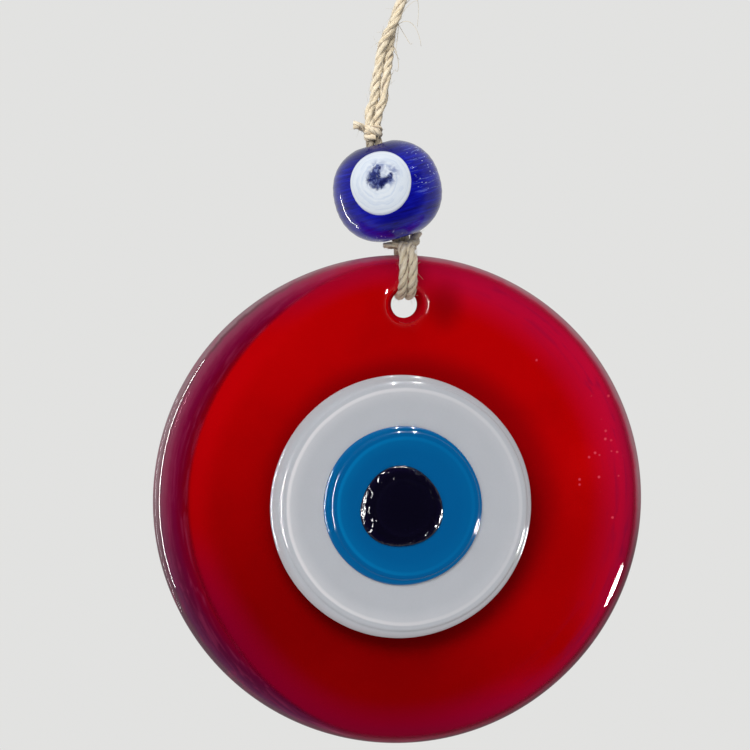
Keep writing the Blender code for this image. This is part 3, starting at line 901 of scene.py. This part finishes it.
# ---------------- the twine
def twine_look(name, warm):
    """Natural bast fibre: long pale streaks along the plies, and painted shade in short dark gaps where the
    plies meet.
    """
    look, tree, shader = new_look(name)
    lay = stored(tree, "lay", "Vector")
    fibre = grain(stretched(lay, (0.7, 5.0, 1.0)), 1.0, 4.0, 0.7, 0.3)
    thread = grain(stretched(lay, (1.2, 8.0, 1.0)), 1.0, 3.0, 0.7)
    patch = grain(stretched(lay, (0.3, 0.5, 1.0)), 1.0, 2.0)
    broken = grain(stretched(lay, (0.75, 0.35, 1.0)), 1.0, 1.0)
    colour = ramp(fibre, [
        (0.28, (0.46, 0.33, 0.19)), (0.4, (0.74, 0.61, 0.42)),
        (0.55, (0.92, 0.83, 0.66)), (0.72, (1.0, 0.97, 0.88)),
    ])
    tint = ramp(patch, [(0.35, (0.9 * warm, 0.84, 0.72)), (0.65, (1.0, 0.99, 0.96))])
    colour = mixed(0.7, colour, tint, "MULTIPLY")
    dark = span(thread, 0.3, 0.4, 1.0, 0.0)
    colour = mixed(dark * 0.35, colour, (0.34, 0.23, 0.13))
    # painted shade where the plies meet, by how deep in a gap a point lies
    painted_gap_shade = stored(tree, "gap") * span(broken, 0.46, 0.6, 0.08, 1.0)
    colour = mixed(painted_gap_shade * 0.85, colour, (0.16, 0.09, 0.05))
    fill(shader, {
        "Base Color": colour, "Roughness": 0.85, "Sheen Weight": 0.6, "Sheen Roughness": 0.5,
        "Specular IOR Level": 0.2, "Normal": bump(fibre, 0.16, 1.0, bump(thread, 0.06, 0.8)),
    })
    return look


def evenly(points, step):
    """The same path with evenly spaced points, and how far along each one is."""
    pts = np.array([tuple(p) for p in points], float)
    lengths = np.r_[0, np.cumsum(np.linalg.norm(np.diff(pts, axis=0), axis=1))]
    count = max(int(lengths[-1] / step), 3)
    at = np.linspace(0, lengths[-1], count + 1)
    return np.stack([np.interp(at, lengths, pts[:, k]) for k in range(3)], axis=1), at


def carried_frame(path):
    """Tangent, side and cross vectors carried along a path without twist."""
    ahead = np.gradient(path, axis=0)
    ahead /= np.linalg.norm(ahead, axis=1)[:, None]
    side = np.zeros_like(path)
    now = np.array([0.0, 1.0, 0.0])
    if abs(ahead[0] @ now) > 0.9:
        now = np.array([1.0, 0.0, 0.0])
    for i, a in enumerate(ahead):
        now = now - a * (a @ now)
        now /= np.linalg.norm(now)
        side[i] = now
    return ahead, side, np.cross(ahead, side)


class Bundle:
    """Twine gathered for one piece: points, their fibre directions and gap depths, and faces."""

    def __init__(self):
        self.verts, self.lay, self.gap, self.faces = [], [], [], []

    def tube(self, rings):
        """A closed tube from rings of (point, fibre direction, gap depth)."""
        self.faces += tube_faces(len(rings), len(rings[0]), len(self.verts))
        for point, lay, gap in (corner for ring in rings for corner in ring):
            self.verts.append(point * MM)
            self.lay.append(lay)
            self.gap.append(gap)

    def hair(self, points, sides, thick, taper, lay_step, lay_at):
        """A thin closed tube along points, thinner towards its end."""
        path = np.array(points)
        ahead, side, cross = carried_frame(path)
        rings = []
        for k, point in enumerate(path):
            thin = thick * (1 - taper * k / (len(path) - 1))
            ring = []
            for c, a in enumerate(around(sides)):
                corner = point + (side[k] * cos(a) + cross[k] * sin(a)) * thin
                ring.append((corner, (k * lay_step[0], c * lay_step[1], lay_at), 0.0))
            rings.append(ring)
        self.tube(rings)

    def made(self, name, look):
        piece = mesh_piece(name, self.verts, self.faces, look)
        store(piece, "lay", self.lay, "FLOAT_VECTOR")
        store(piece, "gap", self.gap)
        return outward(piece)


class Yarn:
    """Twisted twine along one path; stretches of it can go into separate bundles."""

    PLIES = 3
    SIDES = 14          # points round a ply
    STEP = 0.16         # millimetres between rings

    def __init__(self, points, radius, seed, pitch=6.6, swell=lambda share: 1.0):
        self.path, self.at = evenly(points, self.STEP)
        self.ahead, self.side, self.cross = carried_frame(self.path)
        self.radius, self.seed, self.pitch, self.swell = radius, seed, pitch, swell
        self.last = len(self.path) - 1

    def spoke(self, i, angle):
        return self.side[i] * cos(angle) + self.cross[i] * sin(angle)

    def ply_ring(self, i, ply):
        """Points round a ply, each with its fibre direction and how deep in a gap it lies."""
        s = self.at[i]
        drift = 0.35 * noise.noise(Vector((s * 0.15, self.seed, 5.0)))
        angle = 2 * pi * (s / self.pitch + ply / self.PLIES + drift)
        thick = 1 + 0.12 * noise.noise(Vector((s * 0.3, self.seed, ply * 3.0)))
        thick *= self.swell(s / self.at[-1])
        away = self.spoke(i, angle)
        out = self.radius * 0.4 * thick
        own = self.radius * 0.6 * thick
        ring = []
        for t in around(self.SIDES):
            lie = t - 2 * pi * s / self.pitch * 0.9
            a, b = cos(lie), sin(lie)
            fibre = noise.noise(Vector((2.4 * a, 2.4 * b + self.seed, s * 0.5 + ply * 9.0)))
            fine = noise.noise(Vector((6.0 * a, 6.0 * b - self.seed, s * 1.0 + ply * 4.0)))
            offset = away * out + self.spoke(i, t) * own * (1 + 0.16 * fibre + 0.12 * fine)
            deep = 1 - ease(np.linalg.norm(offset) / (out + own), 0.74, 0.88)
            ring.append((self.path[i] + offset, (s, lie, ply * 7.0 + self.seed), deep))
        return ring

    def plies(self, bundle, first, last):
        """The twisted plies between two path points."""
        for ply in range(self.PLIES):
            bundle.tube([self.ply_ring(i, ply) for i in range(first, last + 1)])

    def down(self, bundle, first, last, rng):
        """Fine fibres that lie along the yarn and blur its plies."""
        self.fuzz(bundle, first, last, 11.0, 1.7, rng, 0.05, 0.34)

    def fuzz(self, bundle, first, last, per_mm, reach, rng, low=0.25, high=0.9):
        """Loose fibres that start in the yarn and curl away."""
        length = self.at[last] - self.at[first]
        for _ in range(int(length * per_mm)):
            i = rng.randint(first, last)
            out = self.spoke(i, rng.uniform(0, 2 * pi))
            way = self.ahead[i] * rng.choice((-1, 1))
            long = reach * rng.uniform(0.35, 1.0) ** 2
            bend = np.array([rng.uniform(-1, 1) for _ in range(3)])
            start = self.path[i] + out * self.radius * 0.85
            tilt = rng.uniform(low, high)
            points = []
            for k in range(7):
                u = k / 6
                points.append(start + (way * u + out * tilt * u**1.3 + bend * 0.5 * tilt * u * u) * long)
            bundle.hair(points, 4, 0.026, 0.7, (0.3, 0.5), i * 0.1)


def add_yarn(bundle, points, radius, seed, per_mm, reach, rng, **shape):
    """A whole yarn with its loose fibres."""
    yarn = Yarn(points, radius, seed, **shape)
    yarn.plies(bundle, 0, yarn.last)
    yarn.fuzz(bundle, 0, yarn.last, per_mm, reach, rng)
    return yarn


def strand_spine(node):
    """Function giving a CAD strand's centre at a height, from its own vertices."""
    verts = np.array([tuple(v.co) for v in frame["nodes"][node].data.vertices]) / MM
    nearby = 0.9

    def centre(z):
        weight = np.exp(-((verts[:, 2] - z) / nearby) ** 2)
        return np.array([(verts[:, 0] * weight).sum(), (verts[:, 1] * weight).sum()]) / weight.sum()

    return centre


def pair_path(heights):
    """The left and the right strand of the cord at some heights, a little closer than in the CAD."""
    spines = {}
    for part in ("cord_mid", "cord_top"):
        spines[part] = strand_spine(part + "_left"), strand_spine(part + "_right")
    close = 0.84
    pair = ([], [])
    for z in heights:
        left, right = (spine(z) for spine in spines["cord_mid" if z < SWAY.z else "cord_top"])
        middle = (left + right) / 2
        for path, own in zip(pair, (left, right)):
            path.append(Vector((*(middle + (own - middle) * close), z)))
    return pair


def fold_side():
    """Half of the folded loop, as distance from its middle and height."""
    strand = LOOP_HIGH.y - LOOP_LOW.y
    top = LOOP_HIGH.z - strand / 2
    half = (LOOP_HIGH.x - LOOP_LOW.x) / 2 - strand / 2
    narrow = 0.85
    corner = 4.0
    start = THROAT.z + 0.8
    steps = 15
    leg = []
    for i in range(steps + 1):
        t = i / steps
        leg.append((narrow + (half - narrow) * ease(t, 0, 1), start + (top - corner - start) * t))
    return leg + arc(half - corner, top - corner, corner, corner, 0, 90, 10)[1:]


def hanger_path():
    """Up the left strand, round the folded loop and down the right strand."""
    heights = list(np.linspace(box("cord_mid_left")[0].z + 0.6, THROAT.z - 0.8, 34))
    left, right = pair_path(heights)
    knot = middle_of("upper_knot")
    up = [Vector((knot.x - 0.35, CORD_Y - 0.2, knot.z - 0.3)), *left]
    down = [*reversed(right), Vector((knot.x + 0.4, CORD_Y + 0.2, knot.z - 0.3))]
    side = fold_side()
    rise = [Vector((THROAT.x + a, CORD_Y, z)) for a, z in side]
    fall = [Vector((THROAT.x - a, CORD_Y, z)) for a, z in reversed(side)]
    return spline(up[::2] + [up[-1]] + rise + fall + down[::2] + [down[-1]], 4)


def index_at(yarn, z, rising):
    """Path index where the yarn crosses a height on its way up or on its way down."""
    heights = yarn.path[:, 2]
    top = int(np.argmax(heights))
    if rising:
        return int(np.argmin(np.abs(heights[:top] - z)))
    return top + int(np.argmin(np.abs(heights[top:] - z)))


def long_fibres(bundle):
    """A few long loose fibres that curl away to the right of the cord."""
    # height where each one leaves the cord, and its length
    starts = [
        (79.8, 6.0), (78.6, 5.0), (77.4, 6.4), (76.2, 5.0),
        (75.0, 4.4), (81.0, 3.4), (73.2, 3.0), (78.0, 3.2),
    ]
    sizes = np.array((0.25, 0.2, 0.5))
    waves = np.array((3.0, 2.6, 3.4))
    drift = np.array((0.45, 0.0, -0.3))
    for n, (z, long) in enumerate(starts):
        root = np.array((SWAY.x + (z - SWAY.z) * 0.36 + 0.9, CORD_Y, z))
        phase = n * np.array((1.7, 1.0, 2.1))
        points = []
        for k in range(13):
            u = k / 12
            swing = sizes * (np.sin(waves * u + phase) - np.sin(phase))
            points.append(root + long * (swing + drift * u))
        bundle.hair(points, 5, 0.055, 0.5, (0.4, 0.4), n * 2.0)


def build_hanger(look):
    """The cord from the fold to the upper knot, one yarn in three pieces that meet at its joints."""
    rng = random.Random(11)
    yarn = Yarn(hanger_path(), STRAND_R, 1.0)
    breaks = [(THROAT.z + SWAY.z) / 2, SWAY.z - 8.5]
    up = [0] + [index_at(yarn, z, True) for z in reversed(breaks)]
    down = [index_at(yarn, z, False) for z in breaks] + [yarn.last]

    def gathered(ranges):
        bundle = Bundle()
        for first, last in ranges:
            yarn.plies(bundle, first, last)
        for first, last in ranges:
            yarn.fuzz(bundle, first, last, 3.2, 2.0, rng)
        for first, last in ranges:
            yarn.down(bundle, first, last, rng)
        return bundle

    fold = gathered([(up[2], down[0])]).made("twine_fold", look)
    settle_bent(fold, "natural_twine", ("hanger", "cord_top"), THROAT, 2.5, 2.5,
                "hang_loop", "cord_top_left", "cord_top_right")
    upper = gathered([(up[1], up[2]), (down[0], down[1])])
    long_fibres(upper)
    settle_bent(upper.made("twine_upper", look), "natural_twine", ("cord_top", "cord_mid"), SWAY, 3.0, 3.0)
    lower = gathered([(up[0], up[1]), (down[1], down[2])]).made("twine_lower", look)
    settle_bent(lower, "natural_twine", ("cord_mid", "bead_cord"), TWIST, 12.0, -0.5,
                "cord_mid_left", "cord_mid_right")


def settle_at_neck(piece, slot, *nodes):
    """The twine between the bead and the disc, which passes the point where the disc tips."""
    settle_bent(piece, slot, ("bead_cord", "rim_loop"), NECK, 0.6, 1.0, *nodes)


def build_bead_cord(look):
    """The pair inside the bore, and its short bend between the bead and the lower knot."""
    rng = random.Random(5)
    across = Vector((BEAD_AXIS.z, 0, -BEAD_AXIS.x))
    knot = middle_of("upper_knot")
    foot = middle_of("lower_knot")
    radius = STRAND_R * 0.95
    inner, outer = Bundle(), Bundle()
    for n, side in enumerate((-1, 1)):
        off = across * side * STRAND_R * 0.95
        path = [knot + off * 0.5] + [BEAD + BEAD_AXIS * s + off for s in (7.0, 3.0, 0.0, -3.0, -5.6)]
        yarn = Yarn(spline(path, 6), radius, 21.0 + n)
        yarn.plies(inner, 0, yarn.last)
        path = [BEAD + BEAD_AXIS * s + off for s in (-5.6, -6.8, -8.0)]
        path += [Vector((foot.x + side * STRAND_R * 0.8, CORD_Y - 0.2, foot.z - 0.2))]
        add_yarn(outer, spline(path, 6), radius, 21.0 + n, 2.0, 1.4, rng)
    made = inner.made("twine_in_bead", look)
    settle(made, "natural_twine", "bead_cord", "bead_cord_left", "bead_cord_right")
    settle_at_neck(outer.made("twine_neck", look), "natural_twine")


def wrap_path(centre, axis, half_x, half_y, start, end, high, low):
    """Turns of twine round a core, between two angles in degrees and from one height to another."""
    steps = 40
    x_axis = Vector((axis.z, 0, -axis.x)).normalized()
    points = []
    for i in range(steps + 1):
        t = radians(start + (end - start) * i / steps)
        rise = high + (low - high) * i / steps
        round_it = x_axis * half_x * cos(t) + Vector((0, 1, 0)) * half_y * sin(t)
        points.append(centre + round_it + axis * rise)
    return points


def build_upper_knot(look):
    """Turns of twine on top of the bead, a band across them and a cut end at the left."""
    rng = random.Random(8)
    bundle = Bundle()
    centre = middle_of("upper_knot")
    tip = Vector((box("upper_knot_tail")[0].x, CORD_Y - 0.9, middle_of("upper_knot_tail").z + 0.2))
    turns = wrap_path(centre, BEAD_AXIS, 1.05, 0.95, 175, 640, 0.75, -0.85)
    path = spline([tip, tip + Vector((0.8, -0.1, -0.05)), *turns[::4]], 5)
    add_yarn(bundle, path, STRAND_R * 0.86, 41.0, 3.0, 1.2, rng, swell=lambda s: 1.0 + 0.1 * (s < 0.03))
    slant = (BEAD_AXIS + Vector((0.5, 0, 0))).normalized()
    band = wrap_path(centre + Vector((0, -0.35, 0)), slant, 1.15, 0.9, 200, 420, 0.55, -0.5)
    add_yarn(bundle, spline(band[::5], 5), STRAND_R * 0.7, 44.0, 3.0, 1.0, rng)
    made = bundle.made("twine_upper_knot", look)
    settle(made, "knotted_twine", "bead_cord", "upper_knot", "upper_knot_tail")


def build_lower_knot(look):
    """Turns of twine under the bead, a loose arm at the left and a cut end at the right, behind."""
    rng = random.Random(9)
    bundle = Bundle()
    centre = middle_of("lower_knot")
    turns = wrap_path(centre, Vector((-0.12, 0, 1)).normalized(), 1.35, 1.35, -60, 420, 0.45, -0.25)
    add_yarn(bundle, spline(turns[::4], 5), STRAND_R * 0.82, 51.0, 3.0, 1.3, rng)
    arm = [
        (0.3, -1.9, 0.4), (-1.2, -1.7, 0.4), (-2.6, -1.2, 0.4), (-3.3, -0.3, 0.3),
        (-2.9, 0.8, 0.15), (-1.5, 1.5, 0.1), (0.0, 1.4, 0.1),
    ]
    path = spline([centre + Vector(p) for p in arm], 8)
    add_yarn(bundle, path, STRAND_R * 0.58, 55.0, 3.0, 1.2, rng)
    tail = [(0.6, 0.8, 0.0), (1.5, 2.0, 0.4), (2.1, 3.3, 1.2), (2.4, 4.4, 2.3)]
    path = spline([centre + Vector(p) for p in tail], 8)
    add_yarn(bundle, path, STRAND_R * 1.15, 57.0, 3.0, 1.6, rng, swell=lambda s: 1 + 0.2 * ease(s, 0.8, 1.0))
    settle_at_neck(bundle.made("twine_lower_knot", look), "knotted_twine", "lower_knot", "lower_knot_tail")


def build_rim_loop(look):
    """Two strands from the lower knot down the front, through the hole and up the back."""
    rng = random.Random(15)
    bundle = Bundle()
    knot = middle_of("lower_knot")
    front = -(DISC_FRONT + 0.12 + STRAND_R)
    reach = -(HOLE_LIP + STRAND_R)
    over_lip = arc(HOLE.z + HOLE_R + HOLE_LIP, -1.8, reach, reach, 90, 0, 3)
    for n, side in enumerate((-1, 1)):
        x = HOLE.x + side * STRAND_R * 0.98
        top_x = HOLE.x - 0.2 + side * STRAND_R * 0.85
        path = [
            (top_x, CORD_Y - 0.8, knot.z + 0.3), (top_x, CORD_Y - 2.1, knot.z + 0.1),
            (top_x, front + 0.45, 40.5), (x, front + 0.1, 39.0), *[(x, y, z) for z, y in over_lip],
            (x, -0.4, HOLE.z + 1.6), (x, 0.65, 34.6), (x, 0.72, 36.6), (x, 0.5, 39.2), (x, 0.1, 40.6),
            (top_x, CORD_Y + 2.0, knot.z), (top_x, CORD_Y + 0.8, knot.z + 0.2),
        ]
        yarn = add_yarn(bundle, spline(path, 5), STRAND_R, 31.0 + 3 * n, 1.5, 1.3, rng, pitch=5.6)
        yarn.down(bundle, 0, yarn.last, rng)
    made = bundle.made("twine_rim_loop", look)
    settle(made, "natural_twine", "rim_loop", "rim_loop_left", "rim_loop_right")


# ---------------- studio
def area(name, at, aim, size, power, lit=None, roll=0.0):
    """A soft light is never mirrored. A strip or spark is only mirrored, and only in the pieces it lights."""
    mirrored = name.startswith(("strip", "spark"))
    data = bpy.data.lights.new(name, "AREA")
    data.shape = "ELLIPSE" if name.startswith("spark") else "RECTANGLE"
    data.size, data.size_y = size
    data.energy = power
    made = bpy.data.objects.new(name, data)
    bpy.context.scene.collection.objects.link(made)
    made.location = at
    made.rotation_mode = "QUATERNION"
    turn = (Vector(aim) - Vector(at)).to_track_quat("-Z", "Y")
    made.rotation_quaternion = turn @ Quaternion((0, 0, 1), radians(roll))
    made.visible_camera = False
    made.visible_glossy = mirrored
    made.visible_diffuse = not mirrored
    if lit:
        pieces = bpy.data.collections.new(name + "_lights")
        for piece in bpy.context.scene.objects:
            if piece.name.startswith(lit):
                pieces.objects.link(piece)
        made.light_linking.receiver_collection = pieces


def floor():
    """Pale paper on the floor well below the ornament; it thins out to the pale air before its edge."""
    reach = 1.3
    z = DISC_LOW.z * MM - 0.2
    corners = [(-reach, -reach, z), (reach, -reach, z), (reach, reach, z), (-reach, reach, z)]
    look, tree, shader = new_look("studio_paper")
    vector = output(add(tree, "TexCoord"), "Object")
    away = output(add(tree, "VectorMath", {0: vector}, operation="LENGTH"), "Value")
    paper = ramp(grain(vector, 3.0, 2.0), [(0.3, (0.8, 0.795, 0.785)), (0.7, (0.83, 0.825, 0.815))])
    fill(shader, {"Base Color": paper, "Roughness": 0.9, "Alpha": span(away, 0.45, 1.2, 1.0, 0.0)})
    sheet = mesh_piece("studio_paper", corners, [[0, 1, 2, 3]], look)
    sheet.visible_glossy = False


def world():
    """Soft air light: even for matt surfaces, dark in front and pale at the sides for mirrored ones."""
    made = bpy.data.worlds.new("studio_air")
    bpy.context.scene.world = made
    made.use_nodes = True
    made.cycles.sampling_method = "NONE"
    tree = made.node_tree
    _, back, up = parts(output(add(tree, "TexCoord"), "Generated"))
    mirrored = ramp(span(back, -1.0, 0.0), [(0.0, 0.01), (0.5, 0.03), (0.8, 0.14), (1.0, 0.5)])
    ambient = ramp(span(up, -1.0, 1.0), [(0.0, 0.22), (0.5, 0.34), (1.0, 0.46)])
    path = add(tree, "LightPath")
    light = mixed(output(path, "Is Glossy Ray"), ambient, mirrored)
    seen = (0.76, 0.76, 0.75)
    put(tree.nodes["Background"].inputs[0], mixed(output(path, "Is Camera Ray"), light, seen))


def camera():
    """The photo's view: from a little to the left and hardly above the disc."""
    azimuth = radians(-8)
    rise = 0.035                    # height above the target, as a share of the distance
    distance = 0.62
    view_width = 0.1224             # metres across the picture at the target
    sensor = 36.0
    target = Vector((-4.0, -2.5, 20.4)) * MM
    data = bpy.data.cameras.new("camera")
    made = bpy.data.objects.new("camera", data)
    bpy.context.scene.collection.objects.link(made)
    made.location = target + Vector((sin(azimuth), -cos(azimuth), rise)) * distance
    data.sensor_width = sensor
    data.lens = sensor * distance / view_width
    data.clip_start = 0.01
    made.rotation_mode = "QUATERNION"
    made.rotation_quaternion = (target - made.location).to_track_quat("-Z", "Y")
    bpy.context.scene.camera = made


def studio():
    """Each light: name, place, aim, size, power, the pieces it lights and its roll in degrees."""
    middle = (0.0, 0.0, 0.0)
    bead = tuple(BEAD * MM)
    below_left = tuple(BEAD * MM + Vector((-0.132, 0.115, -0.166)))
    layers = ("white_layer_glass", "blue_layer_glass", "pupil_glass")
    upper_twine = ("twine_fold", "twine_upper", "twine_lower")
    area("fill_front", (-0.35, -0.95, 0.75), middle, (0.8, 0.6), 7.5)
    area("fill_back", (0.5, 0.9, 0.6), middle, (0.8, 0.6), 4.0)
    area("fill_bead", (-0.3, -0.5, 0.4), bead, (0.3, 0.3), 0.7, ("bead_",))
    area("fill_twine", (-0.4, -0.4, 0.4), bead, (0.2, 0.2), 3.2, upper_twine)
    area("strip_rim", (-0.42, -0.19, 0.04), middle, (0.016, 0.54), 1.7, ("disc_glass",))
    area("strip_edge", (-0.3, 0.05, -0.02), middle, (0.006, 0.34), 0.2, ("disc_glass",))
    area("strip_layers", (-0.4, -0.25, 0.0), middle, (0.02, 0.38), 3.6, layers)
    area("strip_pupil", (-0.3, -0.36, 0.03), middle, (0.05, 0.2), 1.6, ("pupil_glass",))
    area("spark_top_left", (0.02, -0.15, 0.35), middle, (0.018, 0.018), 0.6, layers)
    area("spark_top_right", (0.094, -0.15, 0.337), middle, (0.018, 0.018), 0.6, layers)
    area("spark_rim", (0.27, -0.17, -0.113), middle, (0.065, 0.05), 1.0, ("disc_glass",))
    area("spark_right", (0.29, -0.16, -0.094), middle, (0.032, 0.06), 1.6, layers, 20)
    area("strip_bead", below_left, bead, (0.003, 0.356), 0.4, ("bead_glass",), -4.5)
    area("spark_bead", (0.16, -0.1, 0.2), bead, (0.008, 0.016), 0.04, ("bead_glass",))
    floor()
    world()
    camera()
    bpy.context.scene.view_settings.view_transform = "Standard"
    bpy.context.scene.view_settings.look = "None"


twine = twine_look("natural_twine_fibre", 1.0)
knotted = twine_look("knotted_twine_fibre", 1.02)
build_disc()
build_layers()
build_bead()
build_hanger(twine)
build_bead_cord(twine)
build_upper_knot(knotted)
build_lower_knot(knotted)
build_rim_loop(twine)
studio()
